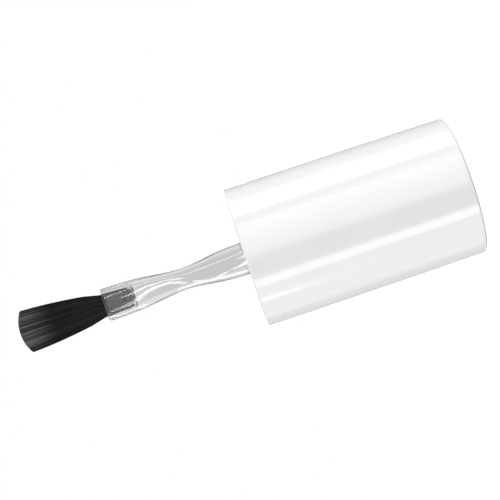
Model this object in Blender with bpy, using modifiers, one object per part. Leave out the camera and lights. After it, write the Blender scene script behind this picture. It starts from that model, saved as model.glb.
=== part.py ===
"""Bottle-cap nail brush: a screw cap that carries its own brush, as a parametric assembly.

Metres, +Z up. The cap stands on its flat closed end with the brush pointing up; the origin is the
centre of that end face, +Z runs along the cap's axis to the bristle tip, and the wide side of the
flat tuft lies along X. Every piece is its own object with its own material.
"""

import math

import bmesh
import bpy

MM = 0.001

# Outer cap: the smooth shell the fingers hold.
CAP_LENGTH = 35.0 * MM
CAP_MOUTH_RADIUS = 11.0 * MM
CAP_CROWN = 0.185 * MM            # how much thinner in radius the closed end is
CAP_END_FILLET = 0.45 * MM
CAP_MOUTH_FILLET = 0.3 * MM
CAP_BORE_RADIUS = 9.7 * MM        # at the mouth
CAP_BORE_DRAFT = 0.12 * MM        # narrower by this much at the bottom of the bore
CAP_END_WALL = 1.6 * MM
RIB_COUNT = 10
RIB_WIDTH = 0.9 * MM
RIB_DEEP_RADIUS = 6.6 * MM        # inner edge of the ribs under the threaded cap
RIB_GRIP_RADIUS = 9.05 * MM       # inner edge of the ribs beside the threaded cap
RIB_TOP = 33.4 * MM

# Inner cap: the threaded closure pressed into the shell.
INNER_TOP = 34.4 * MM             # its mouth, just inside the shell's mouth
INNER_BOTTOM = 19.7 * MM
INNER_RADIUS = 8.85 * MM
INNER_FLANGE_RADIUS = 9.48 * MM
INNER_FLANGE_THICKNESS = 0.65 * MM
INNER_END_WALL = 1.7 * MM
THREAD_ROOT_RADIUS = 7.4 * MM     # bore of the closure
THREAD_CREST_RADIUS = 6.75 * MM
THREAD_PITCH = 2.117 * MM         # twelve threads to the inch
THREAD_TURNS = 2.0
THREAD_TOP = 32.7 * MM
STEM_HOLE_RADIUS = 2.4 * MM

# Stem: one moulded piece with a snap head, a sealing flange, a plug skirt and a waisted shaft.
HEAD_BOTTOM = 18.2 * MM
HEAD_RADIUS = 2.75 * MM
NECK_RADIUS = 2.25 * MM
FLANGE_BOTTOM = 21.5 * MM
FLANGE_TOP = 22.5 * MM
FLANGE_RADIUS = 6.3 * MM
SKIRT_TOP = 25.2 * MM
SKIRT_INNER_RADIUS = 3.25 * MM
SKIRT_TIP_RADIUS = 3.85 * MM
SKIRT_ROOT_RADIUS = 4.05 * MM
STEM_RIM = CAP_LENGTH + 22.6 * MM
RIM_FILLET = 0.32 * MM
# Stations down the shaft: height past the cap's mouth, width across X, width across Y.
SHAFT_STATIONS = (
    (-13.1, 5.26, 5.26), (-4.0, 5.08, 5.08), (1.1, 4.93, 4.92), (4.4, 4.48, 4.41), (7.2, 3.72, 3.66),
    (10.2, 3.31, 3.27), (13.2, 3.81, 3.52), (16.8, 4.68, 3.91), (20.4, 5.04, 4.04), (22.6, 5.04, 4.04),
)
SHAFT_RINGS = 30
RIM_POWER = 2.25                  # the shaft's section is round (2) at the waist and below

# Socket in the end of the stem, and the filament bundle stapled into it.
SOCKET_DEPTH = 4.9 * MM
ROOT_WIDTH = 3.77 * MM
ROOT_THICKNESS = 2.0 * MM
FIT_GAP = 0.1 * MM
ANCHOR_LENGTH = 3.6 * MM
ANCHOR_THICKNESS = 0.3 * MM
ANCHOR_HEIGHT = 1.3 * MM
ANCHOR_CENTRE = 3.0 * MM          # below the rim of the stem

# Free tuft: hinged just past the rim, where its filaments bend.
HINGE_HEIGHT = STEM_RIM + 0.95 * MM
TUFT_TIP = CAP_LENGTH + 36.24 * MM
TUFT_TIP_SAG = 0.92 * MM          # how far the corners of the trimmed end lie behind its middle
TUFT_TIP_WIDTH = 6.66 * MM
TUFT_FLARE_POWER = 1.7            # how fast the flare dies away towards the tip
TUFT_TIP_THICKNESS = 2.2 * MM
TUFT_EDGE_ROUND = 0.25 * MM
TUFT_RINGS = 12
TUFT_POWER = 3.4

AROUND_CAP = 72
AROUND_STEM = 48
AROUND_TUFT = 36


def clear_scene():
    for thing in list(bpy.data.objects):
        bpy.data.objects.remove(thing, do_unlink=True)


def make_collection(name):
    group = bpy.data.collections.new(name)
    bpy.context.scene.collection.children.link(group)
    return group


def make_material(name, colour, roughness, metallic=0.0, transmission=0.0, ior=1.5):
    material = bpy.data.materials.new(name)
    material.use_nodes = True
    shader = material.node_tree.nodes["Principled BSDF"]
    shader.inputs["Base Color"].default_value = (*colour, 1.0)
    shader.inputs["Roughness"].default_value = roughness
    shader.inputs["Metallic"].default_value = metallic
    shader.inputs["Transmission Weight"].default_value = transmission
    shader.inputs["IOR"].default_value = ior
    material.diffuse_color = (*colour, 1.0)
    return material


def add_object(name, mesh, group, material=None):
    thing = bpy.data.objects.new(name, mesh)
    group.objects.link(thing)
    if material:
        mesh.materials.append(material)
    return thing


def fillet(centre_r, centre_z, radius, start, stop, count=6):
    """Points of a rounded corner in the (radius, height) half-plane, angles in degrees."""
    points = []
    for k in range(count + 1):
        angle = math.radians(start + (stop - start) * k / count)
        points.append((centre_r + radius * math.cos(angle), centre_z + radius * math.sin(angle)))
    return points


def revolved(name, profile, group, material, steps, closed=False):
    """Screw a (radius, height) profile once round Z."""
    mesh = bpy.data.meshes.new(name)
    count = len(profile)
    edges = [(k, k + 1) for k in range(count - 1)]
    if closed:
        edges.append((count - 1, 0))
    mesh.from_pydata([(r, 0.0, z) for r, z in profile], edges, [])
    thing = add_object(name, mesh, group, material)
    screw = thing.modifiers.new("Turn", "SCREW")
    screw.axis = "Z"
    screw.angle = 2.0 * math.pi
    screw.steps = steps
    screw.render_steps = steps
    screw.use_merge_vertices = True
    screw.merge_threshold = 0.000005
    screw.use_smooth_shade = False
    return thing


def boolean(thing, other, operation, name):
    cut = thing.modifiers.new(name, "BOOLEAN")
    cut.operation = operation
    cut.solver = "EXACT"
    cut.object = other


def hide_cutter(thing):
    thing.hide_render = True
    thing.display_type = "WIRE"
    return thing


def super_ring(half_x, half_y, power, count):
    """One closed section: a rounded outline between an ellipse and a box."""
    ring = []
    for k in range(count):
        angle = 2.0 * math.pi * (k + 0.5) / count
        c, s = math.cos(angle), math.sin(angle)
        ring.append((
            half_x * math.copysign(abs(c) ** (2.0 / power), c),
            half_y * math.copysign(abs(s) ** (2.0 / power), s),
        ))
    return ring


def smooth_station(past):
    """Widths of the shaft at a height, on a cubic through the stations (Catmull-Rom slopes)."""
    rows = SHAFT_STATIONS
    at = 0
    while at < len(rows) - 2 and rows[at + 1][0] <= past:
        at += 1
    before, first = rows[max(at - 1, 0)], rows[at]
    last, after = rows[at + 1], rows[min(at + 2, len(rows) - 1)]
    span = last[0] - first[0]
    t = (past - first[0]) / span
    widths = []
    for k in (1, 2):
        slope_first = (last[k] - before[k]) / (last[0] - before[0]) * span
        slope_last = (after[k] - first[k]) / (after[0] - first[0]) * span
        widths.append((2 * t ** 3 - 3 * t ** 2 + 1) * first[k] + (t ** 3 - 2 * t ** 2 + t) * slope_first
                      + (3 * t ** 2 - 2 * t ** 3) * last[k] + (t ** 3 - t ** 2) * slope_last)
    return widths


def loft(name, rings, group, material=None):
    """Skin closed sections of equal point count, bottom to top, and close both ends."""
    mesh = bpy.data.meshes.new(name)
    shape = bmesh.new()
    layers = [[shape.verts.new(point) for point in ring] for ring in rings]
    count = len(layers[0])
    for low, high in zip(layers, layers[1:]):
        for k in range(count):
            j = (k + 1) % count
            shape.faces.new((low[k], low[j], high[j], high[k]))
    shape.faces.new(list(reversed(layers[0])))
    shape.faces.new(layers[-1])
    bmesh.ops.recalc_face_normals(shape, faces=shape.faces)
    shape.to_mesh(mesh)
    shape.free()
    return add_object(name, mesh, group, material)


def box(name, size, centre, group, material=None, bevel=0.0):
    mesh = bpy.data.meshes.new(name)
    shape = bmesh.new()
    bmesh.ops.create_cube(shape, size=1.0)
    for vert in shape.verts:
        vert.co = [vert.co[k] * size[k] + centre[k] for k in range(3)]
    shape.to_mesh(mesh)
    shape.free()
    thing = add_object(name, mesh, group, material)
    if bevel:
        edge = thing.modifiers.new("Edges", "BEVEL")
        edge.width = bevel
        edge.segments = 2
        edge.limit_method = "ANGLE"
    return thing


def build_outer_cap(parts, tools):
    bore_low = CAP_BORE_RADIUS - CAP_BORE_DRAFT
    corner = 0.6 * MM
    f, e = CAP_MOUTH_FILLET, CAP_END_FILLET
    profile = [(0.0, CAP_END_WALL)]
    profile += fillet(bore_low - corner, CAP_END_WALL + corner, corner, -90, 0, 4)
    profile += fillet(CAP_BORE_RADIUS + f, CAP_LENGTH - f, f, 180, 90, 4)
    profile += fillet(CAP_MOUTH_RADIUS - f, CAP_LENGTH - f, f, 90, 0, 5)
    side_steps = 4
    for k in range(1, side_steps):
        share = k / side_steps
        profile.append((CAP_MOUTH_RADIUS - CAP_CROWN * share ** 2,
                        CAP_LENGTH - f + (e + f - CAP_LENGTH) * share))
    profile += fillet(CAP_MOUTH_RADIUS - CAP_CROWN - e, e, e, 0, -90, 6)
    profile.append((0.0, 0.0))
    white = make_material("white_gloss_shell_plastic", (0.86, 0.86, 0.86), 0.16)
    cap = revolved("outer_cap", profile, parts, white, AROUND_CAP)

    outline = (
        (RIB_DEEP_RADIUS, CAP_END_WALL - 0.5 * MM), (CAP_BORE_RADIUS + 0.5 * MM, CAP_END_WALL - 0.5 * MM),
        (CAP_BORE_RADIUS + 0.5 * MM, RIB_TOP), (RIB_GRIP_RADIUS + 0.35 * MM, RIB_TOP),
        (RIB_GRIP_RADIUS, RIB_TOP - 0.5 * MM), (RIB_GRIP_RADIUS, INNER_BOTTOM - 0.15 * MM),
        (RIB_DEEP_RADIUS, INNER_BOTTOM - 0.15 * MM),
    )
    mesh = bpy.data.meshes.new("cap_ribs")
    shape = bmesh.new()
    for k in range(RIB_COUNT):
        angle = 2.0 * math.pi * (k + 0.5) / RIB_COUNT
        c, s = math.cos(angle), math.sin(angle)
        shape.faces.new([shape.verts.new((r * c, r * s, z)) for r, z in outline])
    shape.to_mesh(mesh)
    shape.free()
    ribs = hide_cutter(add_object("cap_ribs", mesh, tools))
    wall = ribs.modifiers.new("Thickness", "SOLIDIFY")
    wall.thickness = RIB_WIDTH
    wall.offset = 0.0
    boolean(cap, ribs, "UNION", "Ribs")


def build_inner_cap(parts, tools):
    c = 0.3 * MM
    root = THREAD_ROOT_RADIUS
    floor = INNER_BOTTOM + INNER_END_WALL
    flange = INNER_TOP - INNER_FLANGE_THICKNESS
    profile = [
        (STEM_HOLE_RADIUS, INNER_BOTTOM), (STEM_HOLE_RADIUS, floor), (root - c, floor),
        (root, floor + c), (root, INNER_TOP - 1.5 * c), (root + c, INNER_TOP),
        (INNER_FLANGE_RADIUS - 0.5 * c, INNER_TOP), (INNER_FLANGE_RADIUS, INNER_TOP - 0.5 * c),
        (INNER_FLANGE_RADIUS, flange), (INNER_RADIUS, flange),
        (INNER_RADIUS, INNER_BOTTOM + 2 * c), (INNER_RADIUS - 2 * c, INNER_BOTTOM),
    ]
    matte = make_material("white_threaded_closure_plastic", (0.80, 0.80, 0.79), 0.38)
    closure = revolved("inner_cap", profile, parts, matte, AROUND_CAP, closed=True)

    # Thread ridge: a trapezoid swept along a right-hand helix, shrinking away at both ends.
    ridge = bpy.data.curves.new("thread_section", "CURVE")
    ridge.dimensions = "2D"
    outline = ridge.splines.new("POLY")
    depth = THREAD_ROOT_RADIUS - THREAD_CREST_RADIUS
    corners = ((-depth, -0.3 * MM), (-depth, 0.3 * MM), (0.25 * MM, 0.75 * MM), (0.25 * MM, -0.75 * MM))
    outline.points.add(len(corners) - 1)
    for point, (x, y) in zip(outline.points, corners):
        point.co = (x, y, 0.0, 1.0)
    outline.use_cyclic_u = True
    section = hide_cutter(add_object("thread_section", ridge, tools))

    path = bpy.data.curves.new("thread_path", "CURVE")
    path.dimensions = "3D"
    path.twist_mode = "Z_UP"
    path.bevel_mode = "OBJECT"
    path.bevel_object = section
    path.use_fill_caps = True
    helix = path.splines.new("POLY")
    steps = int(AROUND_CAP * THREAD_TURNS * 0.75)
    helix.points.add(steps)
    for k, point in enumerate(helix.points):
        angle = 2.0 * math.pi * THREAD_TURNS * k / steps
        height = THREAD_TOP - THREAD_PITCH * THREAD_TURNS * (1.0 - k / steps)
        from_end = min(k, steps - k) / (steps * 0.07)
        point.co = (root * math.cos(angle), root * math.sin(angle), height, 1.0)
        point.radius = min(1.0, 0.45 + 0.55 * from_end)
    swept = add_object("thread_path", path, tools)
    bpy.context.view_layer.update()
    ready = swept.evaluated_get(bpy.context.evaluated_depsgraph_get())
    mesh = bpy.data.meshes.new_from_object(ready)
    shape = bmesh.new()
    shape.from_mesh(mesh)
    bmesh.ops.remove_doubles(shape, verts=shape.verts, dist=0.000002)
    bmesh.ops.recalc_face_normals(shape, faces=shape.faces)
    shape.to_mesh(mesh)
    shape.free()
    thread = hide_cutter(add_object("thread_ridge", mesh, tools))
    thread.matrix_world = swept.matrix_world
    bpy.data.objects.remove(swept, do_unlink=True)
    boolean(closure, thread, "UNION", "Thread")


def build_stem(parts, tools):
    t = 0.2 * MM
    profile = [
        (0.0, FLANGE_TOP), (SKIRT_INNER_RADIUS, FLANGE_TOP), (SKIRT_INNER_RADIUS, SKIRT_TOP),
        (SKIRT_TIP_RADIUS - 0.1 * MM, SKIRT_TOP), (SKIRT_TIP_RADIUS, SKIRT_TOP - 0.2 * MM),
        (SKIRT_ROOT_RADIUS, FLANGE_TOP + t), (SKIRT_ROOT_RADIUS + t, FLANGE_TOP),
        (FLANGE_RADIUS - t, FLANGE_TOP), (FLANGE_RADIUS, FLANGE_TOP - t),
        (FLANGE_RADIUS, FLANGE_BOTTOM + t), (FLANGE_RADIUS - t, FLANGE_BOTTOM),
        (NECK_RADIUS, FLANGE_BOTTOM), (NECK_RADIUS, INNER_BOTTOM - 0.15 * MM),
        (HEAD_RADIUS, INNER_BOTTOM - 0.3 * MM), (HEAD_RADIUS, INNER_BOTTOM - 0.75 * MM),
        (HEAD_RADIUS - 0.65 * MM, HEAD_BOTTOM), (0.0, HEAD_BOTTOM),
    ]
    clear = make_material("natural_polyethylene", (0.78, 0.79, 0.80), 0.2, 0.0, 0.6, 1.51)
    stem = revolved("brush_stem", profile, parts, clear, AROUND_STEM)

    low, high = SHAFT_STATIONS[0][0], (STEM_RIM - RIM_FILLET - CAP_LENGTH) / MM
    waist = min(SHAFT_STATIONS, key=lambda station: station[1])[0]
    rings = []
    for k in range(SHAFT_RINGS + 1):
        past = low + (high - low) * k / SHAFT_RINGS
        wide, thick = smooth_station(past)
        power = 2.0 + (RIM_POWER - 2.0) * min(1.0, max(0.0, (past - waist) / (high - waist)))
        outline = super_ring(wide * MM / 2, thick * MM / 2, power, AROUND_STEM)
        rings.append([(x, y, CAP_LENGTH + past * MM) for x, y in outline])
    for r, z in fillet(-RIM_FILLET, STEM_RIM - RIM_FILLET, RIM_FILLET, 0, 90, 4)[1:]:
        outline = super_ring(wide * MM / 2 + r, thick * MM / 2 + r, RIM_POWER, AROUND_STEM)
        rings.append([(x, y, z) for x, y in outline])
    shaft = hide_cutter(loft("stem_shaft", rings, tools))
    boolean(stem, shaft, "UNION", "Shaft")

    hole_x = ROOT_WIDTH / 2 + FIT_GAP
    hole_y = ROOT_THICKNESS / 2 + FIT_GAP
    floor = STEM_RIM - SOCKET_DEPTH
    rings = []
    for z, shrink in ((floor, 0.3 * MM), (floor + 0.1 * MM, 0.1 * MM), (floor + 0.3 * MM, 0.0),
                      (STEM_RIM - 0.15 * MM, 0.0), (STEM_RIM + 0.1 * MM, -0.12 * MM),
                      (STEM_RIM + 1.0 * MM, -0.12 * MM)):
        outline = super_ring(hole_x - shrink, hole_y - shrink, TUFT_POWER, AROUND_TUFT)
        rings.append([(x, y, z) for x, y in outline])
    socket = hide_cutter(loft("stem_socket", rings, tools))
    boolean(stem, socket, "DIFFERENCE", "Socket")


def build_anchor(parts):
    steel = make_material("nickel_plated_steel_staple", (0.62, 0.61, 0.58), 0.3, 1.0)
    box("bristle_anchor", (ANCHOR_LENGTH, ANCHOR_THICKNESS, ANCHOR_HEIGHT),
        (0.0, 0.0, STEM_RIM - ANCHOR_CENTRE), parts, steel, 0.05 * MM)


def build_bristle_root(parts, tools):
    nylon = make_material("black_nylon_set_in_socket", (0.012, 0.012, 0.013), 0.5)
    half = ROOT_THICKNESS / 2
    low = STEM_RIM - SOCKET_DEPTH + FIT_GAP
    high = HINGE_HEIGHT - half - FIT_GAP
    rings = []
    for k in range(6):
        angle = math.radians(12 + 78 * k / 5)
        outline = super_ring(ROOT_WIDTH / 2 - 0.25 * MM * (1 - math.sin(angle)),
                             half * math.sin(angle), TUFT_POWER, AROUND_TUFT)
        rings.append([(x, y, low + half * (1 - math.cos(angle))) for x, y in outline])
    outline = super_ring(ROOT_WIDTH / 2, half, TUFT_POWER, AROUND_TUFT)
    rings.append([(x, y, high) for x, y in outline])
    root = loft("bristle_root", rings, parts, nylon)
    slot = hide_cutter(box("anchor_slot", (2 * ROOT_WIDTH, ANCHOR_THICKNESS + 2 * FIT_GAP,
                                           ANCHOR_HEIGHT + 2 * FIT_GAP),
                           (0.0, 0.0, STEM_RIM - ANCHOR_CENTRE), tools))
    boolean(root, slot, "DIFFERENCE", "Anchor slot")


def tuft_width(height):
    """Width of the tuft at a height above the stem's rim: the flare dies away towards the tip."""
    share = height / (TUFT_TIP - STEM_RIM)
    return ROOT_WIDTH + (TUFT_TIP_WIDTH - ROOT_WIDTH) * (1.0 - (1.0 - share) ** TUFT_FLARE_POWER)


def build_tuft(parts):
    """The free filaments as one flexible blade, its root end rounded about the bending line."""
    nylon = make_material("black_nylon_filament", (0.012, 0.012, 0.013), 0.45)
    half = ROOT_THICKNESS / 2
    lift = HINGE_HEIGHT - STEM_RIM
    length = TUFT_TIP - HINGE_HEIGHT
    straight = length - TUFT_EDGE_ROUND
    rings = []
    for k in range(5):
        angle = math.radians(10 + 80 * k / 5)
        outline = super_ring(tuft_width(lift) / 2, half * math.sin(angle), TUFT_POWER, AROUND_TUFT)
        rings.append([(x, y, -half * math.cos(angle)) for x, y in outline])
    for k in range(TUFT_RINGS + 1):
        share = k / TUFT_RINGS
        height = straight * share
        wide = tuft_width(height + lift)
        thick = ROOT_THICKNESS + (TUFT_TIP_THICKNESS - ROOT_THICKNESS) * share
        outline = super_ring(wide / 2, thick / 2, TUFT_POWER, AROUND_TUFT)
        sag = TUFT_TIP_SAG * share ** 2
        rings.append([(x, y, height - sag * (2 * x / TUFT_TIP_WIDTH) ** 2) for x, y in outline])
    outline = super_ring(TUFT_TIP_WIDTH / 2 - TUFT_EDGE_ROUND, TUFT_TIP_THICKNESS / 2 - TUFT_EDGE_ROUND,
                         TUFT_POWER, AROUND_TUFT)
    rings.append([(x, y, length - TUFT_TIP_SAG * (2 * x / TUFT_TIP_WIDTH) ** 2) for x, y in outline])
    tuft = loft("bristle_tuft", rings, parts, nylon)
    tuft.location = (0.0, 0.0, HINGE_HEIGHT)


def main():
    clear_scene()
    parts = make_collection("bottle_cap_nail_brush")
    tools = make_collection("cutters")
    build_outer_cap(parts, tools)
    build_inner_cap(parts, tools)
    build_stem(parts, tools)
    build_anchor(parts)
    build_bristle_root(parts, tools)
    build_tuft(parts)


main()
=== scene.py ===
"""Looks of the bottle-cap nail brush: shell, closure, stem, staple and filaments. Metres, +Z up."""

import math

import bpy
import numpy as np
from mathutils import Matrix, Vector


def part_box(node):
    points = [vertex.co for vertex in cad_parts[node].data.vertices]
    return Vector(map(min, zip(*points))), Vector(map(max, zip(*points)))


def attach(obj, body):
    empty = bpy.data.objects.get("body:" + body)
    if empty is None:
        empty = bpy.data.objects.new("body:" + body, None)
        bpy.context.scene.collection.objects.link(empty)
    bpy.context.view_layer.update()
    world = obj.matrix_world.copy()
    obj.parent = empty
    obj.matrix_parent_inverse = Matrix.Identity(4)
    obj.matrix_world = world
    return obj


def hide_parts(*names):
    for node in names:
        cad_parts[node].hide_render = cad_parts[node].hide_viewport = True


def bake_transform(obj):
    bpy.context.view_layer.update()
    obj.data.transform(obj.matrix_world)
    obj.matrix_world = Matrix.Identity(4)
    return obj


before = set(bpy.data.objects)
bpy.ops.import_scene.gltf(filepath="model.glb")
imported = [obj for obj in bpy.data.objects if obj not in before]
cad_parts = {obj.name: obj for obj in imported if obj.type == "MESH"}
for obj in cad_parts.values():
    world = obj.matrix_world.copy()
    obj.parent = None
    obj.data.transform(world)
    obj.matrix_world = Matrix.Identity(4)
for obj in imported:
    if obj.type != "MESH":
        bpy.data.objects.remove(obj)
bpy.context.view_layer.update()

MM = 0.001

# Heights that the frame gives: the pieces stand on each other along the cap's axis.
FLOOR_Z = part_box("outer_cap")[0][2]
MOUTH_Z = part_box("outer_cap")[1][2]
MOUTH_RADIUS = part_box("outer_cap")[1][0]
CLOSURE_LOW, CLOSURE_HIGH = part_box("inner_cap")[0][2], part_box("inner_cap")[1][2]
CLOSURE_FLANGE_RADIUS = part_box("inner_cap")[1][0]
STEM_LOW, RIM_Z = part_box("brush_stem")[0][2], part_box("brush_stem")[1][2]
FLANGE_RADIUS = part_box("brush_stem")[1][0]
ROOT_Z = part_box("bristle_root")[0][2]
ROOT_HALF_WIDE, ROOT_HALF_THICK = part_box("bristle_root")[1][0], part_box("bristle_root")[1][1]
TIP_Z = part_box("bristle_tuft")[1][2]


# ---------------------------------------------------------------- meshes

def put_mesh(name, points, quads, triangles, material):
    """A smooth-shaded object at the origin from arrays of points, four-sided and three-sided faces."""
    mesh = bpy.data.meshes.new(name)
    corners = np.concatenate([quads.ravel(), triangles.ravel()]).astype(np.int32)
    sizes = np.concatenate([np.full(len(quads), 4), np.full(len(triangles), 3)])
    mesh.vertices.add(len(points))
    mesh.vertices.foreach_set("co", np.ascontiguousarray(points, np.float32).ravel())
    mesh.loops.add(len(corners))
    mesh.loops.foreach_set("vertex_index", corners)
    mesh.polygons.add(len(sizes))
    mesh.polygons.foreach_set("loop_start", np.concatenate([[0], np.cumsum(sizes)[:-1]]).astype(np.int32))
    mesh.polygons.foreach_set("use_smooth", np.ones(len(sizes), bool))
    mesh.update(calc_edges=True)
    mesh.validate()
    mesh.materials.append(material)
    piece = bpy.data.objects.new(name, mesh)
    bpy.context.scene.collection.objects.link(piece)
    return piece


def skin(name, grid, material, low_pole=None, high_pole=None, wrap_rows=False):
    """Faces over a grid of points, rows by columns, whose columns close into rings.

    Rows run so that the solid's outside is on the right of the outline, and a ring next to a pole
    closes to it with triangles. With wrap_rows the last row joins the first.
    """
    rows, columns = grid.shape[:2]
    index = np.arange(rows * columns).reshape(rows, columns)
    after = np.roll(index, -1, axis=1)
    low, low_after, high, high_after = index[:-1], after[:-1], index[1:], after[1:]
    if wrap_rows:
        low, low_after, high, high_after = index, after, np.roll(index, -1, 0), np.roll(after, -1, 0)
    quads = np.stack([low, low_after, high_after, high], axis=-1).reshape(-1, 4)
    points = grid.reshape(-1, 3)
    triangles = np.empty((0, 3), int)
    if low_pole is not None:
        triangles = np.stack([np.full(columns, len(points)), after[0], index[0]], axis=-1)
        points = np.vstack([points, low_pole])
    if high_pole is not None:
        last = np.stack([index[-1], after[-1], np.full(columns, len(points))], axis=-1)
        triangles = np.vstack([triangles, last])
        points = np.vstack([points, high_pole])
    return put_mesh(name, points, quads, triangles, material)


def rounded_outline(corners, step=0.5 * MM, arc=7, shoulder=0.04 * MM):
    """An outline through corners given as (radius, height, rounding), each turned by a circular arc.

    The arc is the one that touches both straight runs; runs are cut every step, and once more
    close to each arc so that smooth shading stays off the flat stretch.
    """
    corners = np.asarray(corners, float)
    points = []
    for k, (r, z, rounding) in enumerate(corners):
        here = np.array([r, z])
        if k in (0, len(corners) - 1) or rounding == 0.0:
            points.append(here[None])
            continue
        back = corners[k - 1, :2] - here
        ahead = corners[k + 1, :2] - here
        back, ahead = back / np.linalg.norm(back), ahead / np.linalg.norm(ahead)
        half = 0.5 * math.acos(np.clip(back @ ahead, -1.0, 1.0))
        start, end = here + back * rounding / math.tan(half), here + ahead * rounding / math.tan(half)
        middle = back + ahead
        centre = here + middle / np.linalg.norm(middle) * rounding / math.sin(half)
        turn = np.linspace(0.0, 1.0, arc + 1)[:, None]
        swing = math.pi - 2.0 * half
        spokes = (np.sin((1.0 - turn) * swing) * (start - centre)
                  + np.sin(turn * swing) * (end - centre)) / math.sin(swing)
        points.append(centre + spokes)
    outline = [points[0]]
    for last, following in zip(points, points[1:]):
        first, second = last[-1], following[0]
        length = np.linalg.norm(second - first)
        near = min(shoulder, 0.25 * length) / max(length, 1e-9)
        count = max(1, round(length * (1 - 2 * near) / step))
        share = np.linspace(near, 1.0 - near, count + 1)[:, None]
        outline.append(first + (second - first) * share)
        outline.append(following)
    return np.vstack(outline)


def full_turn(count):
    """Evenly spaced angles once round, without the closing one."""
    return np.linspace(0.0, 2.0 * np.pi, count, endpoint=False)


def superellipse(angle, power):
    """Unit outline between an ellipse (power 2) and a box: cosine and sine raised to 2 over power."""
    c, s = np.cos(angle), np.sin(angle)
    return np.sign(c) * np.abs(c) ** (2.0 / power), np.sign(s) * np.abs(s) ** (2.0 / power)


def turned(outline, columns):
    """The outline carried once round Z: x is radius times cosine, y is radius times sine."""
    angle = full_turn(columns)
    radius, height = outline[:, :1], outline[:, 1:]
    return np.stack([radius * np.cos(angle), radius * np.sin(angle),
                     np.broadcast_to(height, (len(outline), columns))], axis=-1)


def smooth_ramp(value, low, high):
    """0 below low, 1 above high, and a cubic ease between."""
    t = np.clip((value - low) / (high - low), 0.0, 1.0)
    return t * t * (3.0 - 2.0 * t)


# ---------------------------------------------------------------- materials

def linear(code):
    """An sRGB hex colour as linear RGBA."""
    value = np.array([int(code[k:k + 2], 16) for k in (1, 3, 5)]) / 255.0
    value = np.where(value <= 0.04045, value / 12.92, ((value + 0.055) / 1.055) ** 2.4)
    return (*value, 1.0)


def add_node(tree, kind, settings=(), links=(), **attributes):
    """One node: attributes are its own properties, settings its input values, links what feeds its inputs."""
    made = tree.nodes.new(kind)
    for name, value in attributes.items():
        setattr(made, name, value)
    for name, value in dict(settings).items():
        made.inputs[name].default_value = value
    for name, socket in dict(links).items():
        tree.links.new(socket, made.inputs[name])
    return made


def new_material(name):
    material = bpy.data.materials.new(name)
    material.use_nodes = True
    shader = material.node_tree.nodes["Principled BSDF"]
    place = add_node(material.node_tree, "ShaderNodeTexCoord").outputs["Object"]
    return material, material.node_tree, shader, place


def shade_range(tree, factor, low, high):
    """Maps a pattern to a narrow band of values."""
    return add_node(tree, "ShaderNodeMapRange", {"To Min": low, "To Max": high}, {"Value": factor}).outputs[0]


def polished_white_abs():
    """ABS, injection moulded in a polished tool: clear gloss over white, with the faintest orange peel."""
    material, tree, shader, place = new_material("polished_white_abs")
    shader.inputs["IOR"].default_value = 1.53
    # Orange peel of about 1.5 mm, a few tenths of a micron deep.
    peel = add_node(tree, "ShaderNodeTexNoise", {"Scale": 650.0, "Detail": 1.0}, {"Vector": place})
    bump = add_node(tree, "ShaderNodeBump", {"Strength": 0.05, "Distance": 0.00001},
                    {"Height": peel.outputs["Fac"]})
    tree.links.new(bump.outputs["Normal"], shader.inputs["Normal"])
    # Handling haze in soft patches of about 8 mm.
    haze = add_node(tree, "ShaderNodeTexNoise", {"Scale": 120.0, "Detail": 4.0}, {"Vector": place})
    tree.links.new(shade_range(tree, haze.outputs["Fac"], 0.12, 0.17), shader.inputs["Roughness"])
    tone = add_node(tree, "ShaderNodeMix", {"A": linear("#EBEBEB"), "B": linear("#EFEFEF")},
                    {"Factor": haze.outputs["Fac"]}, data_type="RGBA")
    tree.links.new(tone.outputs["Result"], shader.inputs["Base Color"])
    return material


def satin_white_polypropylene():
    """Polypropylene, moulded in a blasted tool: white, slightly waxy, with a fine grain of 0.2 mm."""
    material, tree, shader, place = new_material("satin_white_polypropylene")
    shader.inputs["IOR"].default_value = 1.49
    shader.inputs["Base Color"].default_value = linear("#E9E9E6")
    grain = add_node(tree, "ShaderNodeTexNoise", {"Scale": 5000.0, "Detail": 2.0}, {"Vector": place})
    bump = add_node(tree, "ShaderNodeBump", {"Strength": 0.25, "Distance": 0.00002},
                    {"Height": grain.outputs["Fac"]})
    tree.links.new(bump.outputs["Normal"], shader.inputs["Normal"])
    tree.links.new(shade_range(tree, grain.outputs["Fac"], 0.34, 0.46), shader.inputs["Roughness"])
    return material


def clear_low_density_polyethylene():
    """Low-density polyethylene with no pigment: clear, with a little white in it, and softly glossy."""
    material, tree, shader, place = new_material("clear_low_density_polyethylene")
    shader.inputs["IOR"].default_value = 1.51
    shader.inputs["Transmission Weight"].default_value = 0.93
    # Flow lines of the melt run along the stem, so the pattern is stretched along Z.
    along = add_node(tree, "ShaderNodeMapping", {"Scale": (1.0, 1.0, 0.12)}, {"Vector": place})
    flow = add_node(tree, "ShaderNodeTexNoise", {"Scale": 900.0, "Detail": 2.0},
                    {"Vector": along.outputs["Vector"]})
    tree.links.new(shade_range(tree, flow.outputs["Fac"], 0.07, 0.085), shader.inputs["Roughness"])
    tone = add_node(tree, "ShaderNodeMix", {"A": linear("#F1F1F1"), "B": linear("#FAFAFA")},
                    {"Factor": flow.outputs["Fac"]}, data_type="RGBA")
    tree.links.new(tone.outputs["Result"], shader.inputs["Base Color"])
    return material


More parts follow.
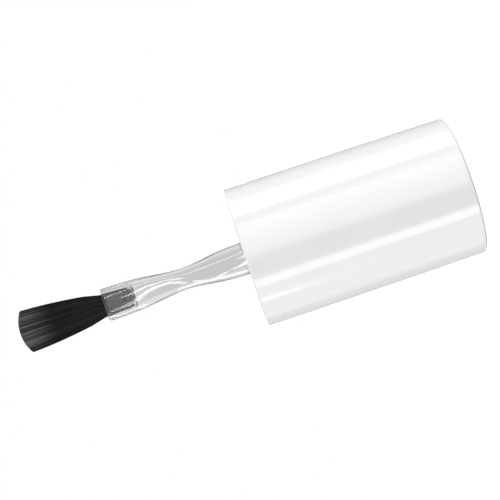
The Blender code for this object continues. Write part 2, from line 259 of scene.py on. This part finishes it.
def black_nylon():
    """Nylon filament, extruded, black with dye, and flagged; towards the tips the base colour is painted
    lighter grey, a painted sheen where the tips catch light.
    """
    material, tree, shader, place = new_material("black_nylon_filament")
    shader.inputs["IOR"].default_value = 1.53
    shader.inputs["Specular IOR Level"].default_value = 0.16
    strand = add_node(tree, "ShaderNodeAttribute", attribute_name="strand")
    reach = add_node(tree, "ShaderNodeAttribute", attribute_name="reach")
    # Strands with more shine are painted a lighter black: a painted sheen in the base colour.
    tone = add_node(tree, "ShaderNodeMix", {"A": linear("#060606"), "B": linear("#262627")},
                    {"Factor": strand.outputs["Fac"]}, data_type="RGBA")
    # The base colour towards the tips is painted lighter grey: a painted sheen where they catch light.
    tip_painted_sheen = add_node(tree, "ShaderNodeMix", {"A": linear("#303031"), "B": linear("#828284")},
                    {"Factor": strand.outputs["Fac"]}, data_type="RGBA")
    tip_sheen_mask = add_node(tree, "ShaderNodeMapRange", {"From Min": 0.56, "From Max": 0.97},
                     {"Value": reach.outputs["Fac"]}, interpolation_type="SMOOTHSTEP")
    dye_and_painted_sheen = add_node(tree, "ShaderNodeMix", links={"Factor": tip_sheen_mask.outputs[0], "A": tone.outputs["Result"],
                                                  "B": tip_painted_sheen.outputs["Result"]}, data_type="RGBA")
    # The part in the socket is painted lighter grey: a painted haze that stands in for the light the slightly
    # milky plastic scatters over it.
    painted_haze_mask = add_node(tree, "ShaderNodeMapRange", {"From Min": -0.02, "From Max": -0.05},
                    {"Value": reach.outputs["Fac"]})
    with_painted_haze = add_node(tree, "ShaderNodeMix", {"B": linear("#6A6A6B")},
                     {"Factor": painted_haze_mask.outputs[0], "A": dye_and_painted_sheen.outputs["Result"]}, data_type="RGBA")
    tree.links.new(with_painted_haze.outputs["Result"], shader.inputs["Base Color"])
    tree.links.new(shade_range(tree, strand.outputs["Fac"], 0.55, 0.4), shader.inputs["Roughness"])
    return material


def nickel_plated_steel():
    """Steel strip, rolled and nickel plated: a warm grey metal with fine rolling lines along X."""
    material, tree, shader, place = new_material("nickel_plated_steel")
    shader.inputs["Metallic"].default_value = 1.0
    shader.inputs["Base Color"].default_value = linear("#B9B4AA")
    along = add_node(tree, "ShaderNodeMapping", {"Scale": (0.05, 1.0, 1.0)}, {"Vector": place})
    lines = add_node(tree, "ShaderNodeTexNoise", {"Scale": 9000.0}, {"Vector": along.outputs["Vector"]})
    tree.links.new(shade_range(tree, lines.outputs["Fac"], 0.2, 0.4), shader.inputs["Roughness"])
    return material


def lit_studio_sweep():
    """Opal acrylic sweep lit from below: plain, pale, without gloss, and bright enough to hold no shadow."""
    material, tree, shader, place = new_material("lit_studio_sweep")
    shader.inputs["Base Color"].default_value = linear("#F4F4F4")
    shader.inputs["Roughness"].default_value = 1.0
    shader.inputs["Specular IOR Level"].default_value = 0.0
    shader.inputs["Emission Color"].default_value = (1.0, 1.0, 1.0, 1.0)
    shader.inputs["Emission Strength"].default_value = 1.0
    return material


# ---------------------------------------------------------------- outer cap

CAP_CROWN = 0.185 * MM
CAP_END_WALL = 1.6 * MM
CAP_BORE_RADIUS = 9.7 * MM
CAP_BORE_DRAFT = 0.12 * MM
RIB_COUNT = 10
RIB_HALF_WIDTH = 0.45 * MM
RIB_GRIP_DEPTH = 0.6 * MM
CAP_COLUMNS = 320


def make_outer_cap(material):
    """The shell turned from its section, thinned towards the closed end, with ribs raised in its bore.

    Outside, radius falls by the crown times the square of the share of the way down. Inside, radius
    falls by the rib depth within half a rib's width of each rib's middle.
    """
    outline = rounded_outline([
        (0.4 * MM, FLOOR_Z, 0.0),
        (MOUTH_RADIUS, FLOOR_Z, 0.45 * MM),
        (MOUTH_RADIUS, MOUTH_Z, 0.30 * MM),
        (CAP_BORE_RADIUS, MOUTH_Z, 0.30 * MM),
        (CAP_BORE_RADIUS - CAP_BORE_DRAFT, CAP_END_WALL, 0.6 * MM),
        (0.4 * MM, CAP_END_WALL, 0.0),
    ], step=0.6 * MM)
    side = outline[:, 0] > CAP_BORE_RADIUS + 0.35 * MM
    share = (MOUTH_Z - outline[:, 1]) / (MOUTH_Z - FLOOR_Z)
    outline[:, 0] -= np.where(side, CAP_CROWN * share ** 2, 0.0)
    grid = turned(outline, CAP_COLUMNS)
    inside = np.arange(len(outline)) > np.argmax(outline[:, 1])
    bore = inside & (np.abs(outline[:, 0] - CAP_BORE_RADIUS) < 0.2 * MM)
    tall = bore * smooth_ramp(MOUTH_Z - outline[:, 1], 1.4 * MM, 2.0 * MM)
    angle = full_turn(CAP_COLUMNS)
    apart = np.abs((angle * RIB_COUNT / (2 * np.pi)) % 1.0 - 0.5) * 2 * np.pi / RIB_COUNT * CAP_BORE_RADIUS
    ridge = 1.0 - smooth_ramp(apart, RIB_HALF_WIDTH, RIB_HALF_WIDTH + 0.15 * MM)
    shrink = 1.0 - RIB_GRIP_DEPTH * tall[:, None] * ridge[None] / CAP_BORE_RADIUS
    grid[..., :2] *= shrink[..., None]
    return skin("cap_shell", grid, material, (0.0, 0.0, FLOOR_Z), (0.0, 0.0, CAP_END_WALL))


# ---------------------------------------------------------------- inner cap

CLOSURE_RADIUS = 8.85 * MM
CLOSURE_END_WALL = 1.7 * MM
CLOSURE_FLANGE = 0.65 * MM
THREAD_ROOT_RADIUS = 7.4 * MM
THREAD_DEPTH = 0.65 * MM
THREAD_PITCH = 2.117 * MM
THREAD_TURNS = 2.0
THREAD_BELOW_MOUTH = 1.7 * MM
STEM_HOLE_RADIUS = 2.4 * MM
KNURL_COUNT = 60


def thread_height(angle, height):
    """How far the thread stands in from the bore: a rounded trapezoid about a right-hand helix.

    The helix rises one pitch a turn, and the ridge swells and dies away over a fifth of a turn.
    """
    top = CLOSURE_HIGH - THREAD_BELOW_MOUTH
    bottom = top - THREAD_PITCH * THREAD_TURNS
    turns = (height - bottom) / THREAD_PITCH - angle / (2 * np.pi)
    nearest = np.round(turns)
    apart = np.abs(turns - nearest) * THREAD_PITCH
    along = nearest + angle / (2 * np.pi)
    ends = smooth_ramp(along, 0.0, 0.2) * (1.0 - smooth_ramp(along, THREAD_TURNS - 0.2, THREAD_TURNS))
    return THREAD_DEPTH * ends * (1.0 - smooth_ramp(apart, 0.22 * MM, 0.62 * MM))


def make_inner_cap(material):
    """The closure turned from its section, its bore raised by the thread and its outside finely fluted."""
    flange_low = CLOSURE_HIGH - CLOSURE_FLANGE
    floor = CLOSURE_LOW + CLOSURE_END_WALL
    outline = rounded_outline([
        (STEM_HOLE_RADIUS, CLOSURE_LOW + 0.5 * MM, 0.0),
        (STEM_HOLE_RADIUS, CLOSURE_LOW, 0.1 * MM),
        (CLOSURE_RADIUS, CLOSURE_LOW, 0.6 * MM),
        (CLOSURE_RADIUS, flange_low, 0.1 * MM),
        (CLOSURE_FLANGE_RADIUS, flange_low, 0.1 * MM),
        (CLOSURE_FLANGE_RADIUS, CLOSURE_HIGH, 0.15 * MM),
        (THREAD_ROOT_RADIUS + 0.3 * MM, CLOSURE_HIGH, 0.1 * MM),
        (THREAD_ROOT_RADIUS, CLOSURE_HIGH - 0.45 * MM, 0.1 * MM),
        (THREAD_ROOT_RADIUS, floor, 0.3 * MM),
        (STEM_HOLE_RADIUS, floor, 0.1 * MM),
        (STEM_HOLE_RADIUS, CLOSURE_LOW + 0.55 * MM, 0.0),
    ], step=0.12 * MM, arc=5)
    columns = 240
    grid = turned(outline, columns)
    angle = full_turn(columns)[None]
    rows = np.arange(len(outline))
    in_bore = (rows > np.argmax(outline[:, 1])) & (np.abs(outline[:, 0] - THREAD_ROOT_RADIUS) < 0.01 * MM)
    radius = np.hypot(grid[..., 0], grid[..., 1])
    raised = np.where(in_bore[:, None], thread_height(angle, outline[:, 1:]), 0.0)
    fluted = (np.abs(outline[:, 0] - CLOSURE_RADIUS) < 0.01 * MM) & (outline[:, 1] < flange_low - 0.3 * MM)
    raised += np.where(fluted[:, None], 0.12 * MM * (0.5 + 0.5 * np.cos(KNURL_COUNT * angle)), 0.0)
    grid[..., :2] *= (1.0 - raised / radius)[..., None]
    return skin("threaded_closure", grid, material, wrap_rows=True)


# ---------------------------------------------------------------- stem

SHAFT_STATIONS = (          # height past the cap's mouth, width across X, width across Y, in mm
    (-12.5, 5.25, 5.25), (-4.0, 5.08, 5.08), (1.1, 4.93, 4.92), (4.4, 4.48, 4.41), (7.2, 3.72, 3.66),
    (10.2, 3.31, 3.27), (13.2, 3.81, 3.52), (16.8, 4.68, 3.91), (20.4, 5.04, 4.04), (22.6, 5.04, 4.04),
)
RIM_ROUND = 0.32 * MM
SOCKET_DEPTH = 4.9 * MM
SOCKET_POWER = 3.4
SOCKET_ROUND = 0.6 * MM
SOCKET_RIM_SHARE = 0.9
SOCKET_FLOOR_SHARE = 0.74
SPREAD_HEIGHT = 3.0 * MM
FIT_GAP = 0.1 * MM
STEM_COLUMNS = 192


def shaft_widths(height):
    """Half widths along the shaft: the natural cubic spline through the stations.

    Its bends at the stations solve the usual three-term equations, with no bend at either end, so
    slope and curvature run on without a break and the gloss shows no kink.
    """
    rows = np.asarray(SHAFT_STATIONS)
    at, values = rows[:, 0] * MM + MOUTH_Z, rows[:, 1:] * MM / 2
    gap, count = np.diff(at), len(at)
    system, right = np.eye(count), np.zeros_like(values)
    middle = np.arange(1, count - 1)
    system[middle, middle - 1] = gap[:-1]
    system[middle, middle] = 2.0 * (gap[:-1] + gap[1:])
    system[middle, middle + 1] = gap[1:]
    rise = np.diff(values, axis=0) / gap[:, None]
    right[1:-1] = 6.0 * np.diff(rise, axis=0)
    bend = np.linalg.solve(system, right)
    k = np.clip(np.searchsorted(at, height, side="right") - 1, 0, count - 2)
    span, below, above = gap[k][:, None], (height - at[k])[:, None], (at[k + 1] - height)[:, None]
    return ((bend[k] * above ** 3 + bend[k + 1] * below ** 3) / (6.0 * span)
            + (values[k] / span - bend[k] * span / 6.0) * above
            + (values[k + 1] / span - bend[k + 1] * span / 6.0) * below)


def root_taper(height):
    """Share of the root's width: a straight draft in the socket, back to 1 just outside the rim."""
    inside = SOCKET_FLOOR_SHARE + (SOCKET_RIM_SHARE - SOCKET_FLOOR_SHARE) * np.clip(
        (height - RIM_Z + SOCKET_DEPTH) / SOCKET_DEPTH, 0.0, 1.0)
    return inside + (1.0 - SOCKET_RIM_SHARE) * smooth_ramp(height, RIM_Z, RIM_Z + SPREAD_HEIGHT)


def make_stem(material):
    """One outline from the snap head's pole, over flange and plug skirt, up the shaft and into the socket.

    Every row is a superellipse. Below the mouth it is a circle of the outline's radius; along the
    shaft it is an ellipse whose half widths follow the stations; over the rim it shrinks by a
    quarter circle; and in the socket it is the boxier outline of the filament bundle with a small
    gap, narrowing to a rounded floor.
    """
    flange_low = CLOSURE_LOW + CLOSURE_END_WALL + FIT_GAP
    flange_high = CLOSURE_LOW + CLOSURE_END_WALL + 1.1 * MM
    skirt_top = flange_high + 2.7 * MM
    base = SHAFT_STATIONS[0][1] * MM / 2
    foot = rounded_outline([
        (0.3 * MM, STEM_LOW, 0.0), (2.1 * MM, STEM_LOW, 0.1 * MM),
        (2.75 * MM, STEM_LOW + 0.75 * MM, 0.1 * MM), (2.75 * MM, STEM_LOW + 1.2 * MM, 0.1 * MM),
        (2.25 * MM, STEM_LOW + 1.35 * MM, 0.05 * MM), (2.25 * MM, flange_low, 0.1 * MM),
        (FLANGE_RADIUS, flange_low, 0.2 * MM), (FLANGE_RADIUS, flange_high, 0.2 * MM),
        (4.05 * MM, flange_high, 0.2 * MM), (3.85 * MM, skirt_top, 0.15 * MM),
        (3.25 * MM, skirt_top, 0.15 * MM), (3.25 * MM, flange_high, 0.15 * MM),
        (base + 0.02 * MM, flange_high, 0.2 * MM), (base, flange_high + 0.4 * MM, 0.0),
    ], step=0.25 * MM, arc=5)
    shaft_z = np.linspace(foot[-1, 1] + 0.1 * MM, RIM_Z - RIM_ROUND, 220)
    shaft = shaft_widths(shaft_z)
    turn = np.linspace(0.0, math.pi / 2, 9)[1:]
    over = shaft[-1] - RIM_ROUND * (1.0 - np.cos(turn))[:, None]
    hole = SOCKET_RIM_SHARE * np.array([ROOT_HALF_WIDE, ROOT_HALF_THICK]) + FIT_GAP
    lip = 0.12 * MM
    share = np.linspace(0.0, 1.0, 5)[1:-1, None]
    flat = over[-1] * (1 - share) + (hole + lip) * share
    inward = hole + lip * (1.0 - np.sin(turn - turn[0])[:, None])
    wall_z = np.linspace(RIM_Z - lip, RIM_Z - SOCKET_DEPTH + SOCKET_ROUND, 30)[1:]
    wall = (hole - FIT_GAP) * root_taper(wall_z)[:, None] / SOCKET_RIM_SHARE + FIT_GAP
    floor_turn = np.linspace(0.0, math.pi / 2, 10)[1:]
    floor = wall[-1] - SOCKET_ROUND * (1.0 - np.cos(floor_turn))[:, None]
    half = np.vstack([np.repeat(foot[:, :1], 2, axis=1), shaft, over, flat, inward,
                      wall, floor, 0.2 * floor[-1:]])
    height = np.concatenate([
        foot[:, 1], shaft_z, RIM_Z - RIM_ROUND * (1.0 - np.sin(turn)), np.full(len(flat), RIM_Z),
        RIM_Z - lip * (1.0 - np.cos(turn - turn[0])), wall_z,
        RIM_Z - SOCKET_DEPTH + SOCKET_ROUND * (1.0 - np.sin(floor_turn)), [RIM_Z - SOCKET_DEPTH]])
    first_socket = len(foot) + len(shaft) + len(over)
    blend = smooth_ramp(np.arange(len(height)), first_socket - 1, first_socket + len(flat))
    power = 2.0 * (1 - blend) + SOCKET_POWER * blend
    angle = full_turn(STEM_COLUMNS)[None]
    c, s = superellipse(angle, power[:, None])
    grid = np.stack([half[:, :1] * c, half[:, 1:] * s, np.broadcast_to(height[:, None], c.shape)], axis=-1)
    return skin("brush_stem_moulding", grid, material, (0.0, 0.0, STEM_LOW), (0.0, 0.0, RIM_Z - SOCKET_DEPTH))


def make_anchor(material):
    """The staple that holds the folded filaments: a flat bar with rounded ends, inside the bundle."""
    low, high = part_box("bristle_anchor")
    half = np.array([SOCKET_FLOOR_SHARE * ROOT_HALF_WIDE - FIT_GAP, high[1]])
    turn = np.linspace(0.0, math.pi / 2, 5)
    edge, columns = 0.06 * MM, 48
    shrink = edge * (1.0 - np.concatenate([np.sin(turn), np.sin(turn[::-1])]))
    rounding = edge * (1.0 - np.cos(turn))
    height = np.concatenate([low[2] + rounding, high[2] - rounding[::-1]])
    angle = full_turn(columns)[None]
    c, s = superellipse(angle, 5.0)
    grid = np.stack([(half[0] - shrink)[:, None] * c, (half[1] - shrink)[:, None] * s,
                     np.broadcast_to(height[:, None], (len(height), columns))], axis=-1)
    return skin("staple", grid, material, (0.0, 0.0, low[2]), (0.0, 0.0, high[2]))


# ---------------------------------------------------------------- filaments

FILAMENTS = 900
FILAMENT_RADIUS = 0.055 * MM
FILAMENT_SIDES = 5
FILAMENT_ROWS = 16
CLUMPS = 11
TUFT_TIP_WIDTH = 6.66 * MM
TUFT_TIP_THICKNESS = 2.2 * MM
TUFT_FLARE_POWER = 1.7
TIP_SAG = 0.92 * MM
WANDER = 0.07                     # spread of the filaments' stray from their places, in mm
EVEN_STEPS = (0.7548776662466927, 0.5698402909980532)   # one over the plastic number, and its square


def flare(share):
    """0 at the stem's rim and 1 at the tip: one minus the remaining share to the flare power."""
    return 1.0 - np.clip(1.0 - share, 0.0, 1.0) ** TUFT_FLARE_POWER


def make_filaments(material):
    """Nine hundred thin tubes, each keeping its own place in the bundle's outline as the tuft flares.

    A filament's place in a unit square comes from an even two-number sequence, and is carried to
    the superellipse outline. Its centre line is that place times the half widths at each height,
    plus a slow wander that grows towards the tip; its tip lies on the trimmed arc.
    """
    draw = np.random.default_rng(7)
    k = np.arange(FILAMENTS)
    u, v = [(0.5 + k * step) % 1.0 * 2.0 - 1.0 for step in EVEN_STEPS]
    reach = (1.0 - np.abs(v) ** SOCKET_POWER) ** (1.0 / SOCKET_POWER)
    place_x = (u * reach + draw.normal(0.0, 0.012, FILAMENTS)).clip(-1.0, 1.0)
    place_y = (v + draw.normal(0.0, 0.015, FILAMENTS)).clip(-1.0, 1.0)

    tip = TIP_Z - TIP_SAG * place_x ** 2 - 0.08 * MM * np.abs(place_y) ** 3
    tip = tip - np.abs(draw.normal(0.0, 0.04, FILAMENTS)) * MM
    low = ROOT_Z + 0.15 * MM * (1.0 + draw.random(FILAMENTS)) + 0.8 * MM * place_x ** 4
    rows = np.linspace(0.0, 1.0, FILAMENT_ROWS)[:, None]
    first = (RIM_Z - low) / (tip - low)
    z = low + (tip - low) * rows
    share = (z - RIM_Z) / (TIP_Z - RIM_Z)
    free = np.clip(share, 0.0, 1.0)
    half_x = ROOT_HALF_WIDE - FILAMENT_RADIUS + (TUFT_TIP_WIDTH / 2 - ROOT_HALF_WIDE) * flare(free)
    half_y = ROOT_HALF_THICK - FILAMENT_RADIUS + (TUFT_TIP_THICKNESS / 2 - ROOT_HALF_THICK) * free
    wander_x, wander_y = [
        draw.normal(0.0, WANDER, FILAMENTS) * MM * free * np.sin(2.5 * free + draw.random(FILAMENTS) * 6.0)
        for _ in range(2)]
    half_x, half_y = half_x * root_taper(z), half_y * root_taper(z)
    x = place_x * half_x + wander_x * (1.0 - np.abs(place_x) ** 4)
    y = place_y * half_y + wander_y * (1.0 - np.abs(place_y) ** 4)

    angle = full_turn(FILAMENT_SIDES)
    ring = FILAMENT_RADIUS * np.stack([np.cos(angle), np.sin(angle)], axis=-1)
    centres = np.stack([x, y, z], axis=-1).transpose(1, 0, 2)
    tubes = np.repeat(centres[:, :, None], FILAMENT_SIDES, axis=2)
    tubes[..., :2] += ring[None, None]
    points = tubes.reshape(-1, 3)

    each = FILAMENT_ROWS * FILAMENT_SIDES
    index = np.arange(each).reshape(FILAMENT_ROWS, FILAMENT_SIDES)
    after = np.roll(index, -1, axis=1)
    quads = np.stack([index[:-1], after[:-1], after[1:], index[1:]], axis=-1).reshape(-1, 4)
    fan = np.arange(1, FILAMENT_SIDES - 1)
    low_cap = np.stack([np.zeros_like(fan), fan + 1, fan], axis=-1)
    high_cap = np.stack([np.zeros_like(fan), fan, fan + 1], axis=-1) + each - FILAMENT_SIDES
    starts = (np.arange(FILAMENTS) * each)[:, None, None]
    quads = (quads[None] + starts).reshape(-1, 4)
    caps = (np.vstack([low_cap, high_cap])[None] + starts).reshape(-1, 3)
    piece = put_mesh("bristle_filaments", points, quads, caps, material)
    # Filaments that stick together share a shine, which a fixed hash of the clump's number gives: it lowers
    # their roughness and is also painted into their base colour as a lighter grey, a painted sheen.
    lock = np.round(place_x * CLUMPS + 1.5 * place_y)
    shine = 0.65 * (np.sin(lock * 12.9898) * 43758.5453 % 1.0) + 0.35 * draw.random(FILAMENTS)
    shine *= 1.0 - smooth_ramp(np.abs(place_x), 0.84, 0.93)
    for name, values in (("strand", np.repeat(shine ** 1.5, each)),
                         ("reach", np.repeat(share.T[..., None], FILAMENT_SIDES, axis=2).ravel())):
        values = np.ascontiguousarray(values, np.float32)
        piece.data.attributes.new(name, "FLOAT", "POINT").data.foreach_set("value", values)
    return piece


# ---------------------------------------------------------------- studio

CAMERA_DISTANCE = 222.6 * MM
CAMERA_LENS = 105.0               # on a 36 mm sensor
CAMERA_TILT = math.radians(18.58)  # how far off level the cap's axis lies in the view
CAMERA_ASIDE = 0.966 * MM         # past the cap's axis, along X
CAMERA_BELOW_MOUTH = 1.03 * MM


def make_camera():
    """Level with the cap's mouth, square to its axis, and rolled so that the brush points down left."""
    data = bpy.data.cameras.new("camera")
    data.lens = CAMERA_LENS
    data.sensor_width = 36.0
    data.clip_start = 0.01
    camera = bpy.data.objects.new("camera", data)
    bpy.context.scene.collection.objects.link(camera)
    c, s = math.cos(CAMERA_TILT), math.sin(CAMERA_TILT)
    place = Matrix(((-s, c, 0.0, CAMERA_ASIDE), (0.0, 0.0, -1.0, -CAMERA_DISTANCE),
                    (-c, -s, 0.0, MOUTH_Z - CAMERA_BELOW_MOUTH), (0.0, 0.0, 0.0, 1.0)))
    camera.matrix_world = place
    bpy.context.scene.camera = camera


# Panels round the cap: name, first and last azimuth in degrees from the camera's side towards +X,
# bottom and top in metres, and radiance. The gaps between them draw the grey bands down the gloss.
# They light everything but the stem.
PANELS = (
    ("back_softbox", 165.0, 195.0, -0.3, 0.38, 3.0),
    ("rim_fill", -165.0, -120.0, -0.3, 0.38, 0.5),
    ("low_fill", -120.0, -55.0, -0.3, 0.38, 1.5),
    ("low_reflector", -78.0, -72.0, 0.01, 0.2, 5.0),
    ("low_strip", -52.0, -37.0, -0.3, 0.38, 4.5),
    ("front_softbox", 0.0, 55.0, -0.3, 0.38, 2.2),
    ("side_softbox", 72.0, 100.0, -0.3, 0.38, 5.0),
)
# Narrow tubes for the clear stem alone: name, azimuth and elevation of both ends in degrees,
# thickness in degrees, and radiance.
TUBES = (
    ("low_slant", (20.0, -3.0), (-30.0, 3.5), 3.0, 11.0),
    ("low_slant_end", (-30.0, 3.0), (-50.0, 6.5), 4.5, 10.0),
    ("low_link", (-50.0, 10.5), (-97.0, 12.5), 2.5, 9.0),
    ("low_upright", (-97.0, 0.0), (-97.0, 12.5), 18.0, 6.0),
    ("front_slant", (10.0, 5.0), (43.0, -3.0), 3.0, 11.0),
    ("front_corner_upright", (42.0, 8.0), (42.0, 19.0), 6.0, 9.0),
    ("front_corner_slant", (43.0, 8.0), (66.0, -3.0), 2.5, 9.0),
)
PANEL_DISTANCE = 0.6
TOP_WIDTH = 0.3
TOP_RADIANCE = 4.0
STUDIO_AMBIENT = 0.01
SWEEP_HALF = 1.5
# Backdrop that rays see after passing through the stem: its grey and white levels, how far along
# world X (as a direction's share) the grey ends and the white begins, and the grey's shift.
SEEN_THROUGH, SEEN_ASIDE = 0.68, 0.93
GREY_ENDS, WHITE_BEGINS, GREY_SHIFT = 0.4, 0.58, 0.08


def place_light(name, middle, along, across, length, width, radiance):
    """A rectangle of light at middle, its length along one direction, facing the cap's mouth.

    Its power is radiance times pi times area.
    """
    data = bpy.data.lights.new(name, "AREA")
    data.shape = "RECTANGLE"
    data.size, data.size_y = width, length
    data.energy = radiance * math.pi * width * length
    light = bpy.data.objects.new(name, data)
    bpy.context.scene.collection.objects.link(light)
    light.visible_camera = False
    light.matrix_world = Matrix(np.vstack([np.column_stack([across, along, np.cross(across, along), middle]),
                                           (0.0, 0.0, 0.0, 1.0)]).tolist())
    return light


def make_panel(name, first, last, bottom, top, radiance):
    """An upright panel that spans two azimuths at a fixed distance."""
    turn = math.radians((first + last) / 2)
    half = math.radians((last - first) / 2)
    c, s = math.cos(turn), math.sin(turn)
    middle = (PANEL_DISTANCE * s, -PANEL_DISTANCE * c, (bottom + top) / 2)
    return place_light(name, middle, (0.0, 0.0, 1.0), (c, s, 0.0), top - bottom,
                       2.0 * PANEL_DISTANCE * math.tan(half), radiance)


def make_tube(name, first, last, thickness, radiance, receivers):
    """A narrow rectangle between two directions seen from the cap's mouth, lighting only the receivers."""
    ends = []
    for azimuth, elevation in (first, last):
        turn, rise = math.radians(azimuth), math.radians(elevation)
        ends.append(PANEL_DISTANCE * np.array([math.sin(turn), -math.cos(turn), math.tan(rise)]))
    middle = (ends[0] + ends[1]) / 2
    length = np.linalg.norm(ends[1] - ends[0])
    along = (ends[1] - ends[0]) / length
    back = middle - along * (middle @ along)
    across = np.cross(along, back / np.linalg.norm(back))
    light = place_light(name, middle + np.array([0.0, 0.0, MOUTH_Z]), along, across, length,
                        PANEL_DISTANCE * math.radians(thickness), radiance)
    light.light_linking.receiver_collection = receivers
    return light


def make_studio(stem):
    """A white sweep for the camera alone, softboxes for all but the stem, and tubes for the stem alone."""
    corners = SWEEP_HALF * np.array([[-1.0, -1.0, 0.0], [1.0, -1.0, 0.0], [1.0, 1.0, 0.0], [-1.0, 1.0, 0.0]])
    floor = put_mesh("floor", corners, np.array([[0, 1, 2, 3]]), np.empty((0, 3), int), lit_studio_sweep())
    for kind in ("diffuse", "glossy", "transmission", "shadow"):
        setattr(floor, "visible_" + kind, False)
    world = bpy.data.worlds.new("studio")
    world.use_nodes = True
    tree = world.node_tree
    path = add_node(tree, "ShaderNodeLightPath")
    # The backdrop seen through the stem is grey straight behind and white to both sides.
    sideways = add_node(tree, "ShaderNodeSeparateXYZ")
    tree.links.new(add_node(tree, "ShaderNodeTexCoord").outputs["Generated"], sideways.inputs[0])
    shifted = add_node(tree, "ShaderNodeMath", {1: GREY_SHIFT}, {0: sideways.outputs["X"]}, operation="ADD")
    off = add_node(tree, "ShaderNodeMath", links={0: shifted.outputs[0]}, operation="ABSOLUTE")
    backdrop = add_node(tree, "ShaderNodeMapRange", {"From Min": GREY_ENDS, "From Max": WHITE_BEGINS,
                                                     "To Min": SEEN_THROUGH, "To Max": SEEN_ASIDE},
                        {"Value": off.outputs[0]})
    passed = path.outputs["Is Transmission Ray"]
    through = add_node(tree, "ShaderNodeMapRange", {"To Min": STUDIO_AMBIENT},
                       {"Value": passed, "To Max": backdrop.outputs[0]}).outputs[0]
    strength = add_node(tree, "ShaderNodeMath", operation="MAXIMUM").outputs[0]
    tree.links.new(path.outputs["Is Camera Ray"], strength.node.inputs[0])
    tree.links.new(through, strength.node.inputs[1])
    background = tree.nodes["Background"]
    background.inputs["Color"].default_value = (1.0, 1.0, 1.0, 1.0)
    tree.links.new(strength, background.inputs["Strength"])
    bpy.context.scene.world = world
    bpy.context.scene.view_settings.view_transform = "Standard"
    others = bpy.data.collections.new("all_but_stem")
    others.objects.link(stem)
    others.collection_objects[0].light_linking.link_state = "EXCLUDE"
    overhead = place_light("top_softbox", (0.0, 0.0, MOUTH_Z + PANEL_DISTANCE),
                           (0.0, 1.0, 0.0), (1.0, 0.0, 0.0), TOP_WIDTH, TOP_WIDTH, TOP_RADIANCE)
    for light in [overhead] + [make_panel(*panel) for panel in PANELS]:
        light.visible_transmission = False
        light.light_linking.receiver_collection = others
    receivers = bpy.data.collections.new("stem_only")
    receivers.objects.link(stem)
    for tube in TUBES:
        make_tube(*tube, receivers).visible_transmission = False


# ---------------------------------------------------------------- assembly

def main():
    nylon = black_nylon()
    shell = make_outer_cap(polished_white_abs())
    closure = make_inner_cap(satin_white_polypropylene())
    stem = make_stem(clear_low_density_polyethylene())
    filaments = make_filaments(nylon)
    staple = make_anchor(nickel_plated_steel())
    for piece, node, slot in ((shell, "outer_cap", "shell_white"), (closure, "inner_cap", "closure_white"),
                              (stem, "brush_stem", "natural_polyethylene"),
                              (staple, "bristle_anchor", "plated_steel")):
        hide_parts(node)
        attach(piece, "cap")
    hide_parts("bristle_root", "bristle_tuft")
    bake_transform(filaments)
    make_camera()
    make_studio(stem)


main()
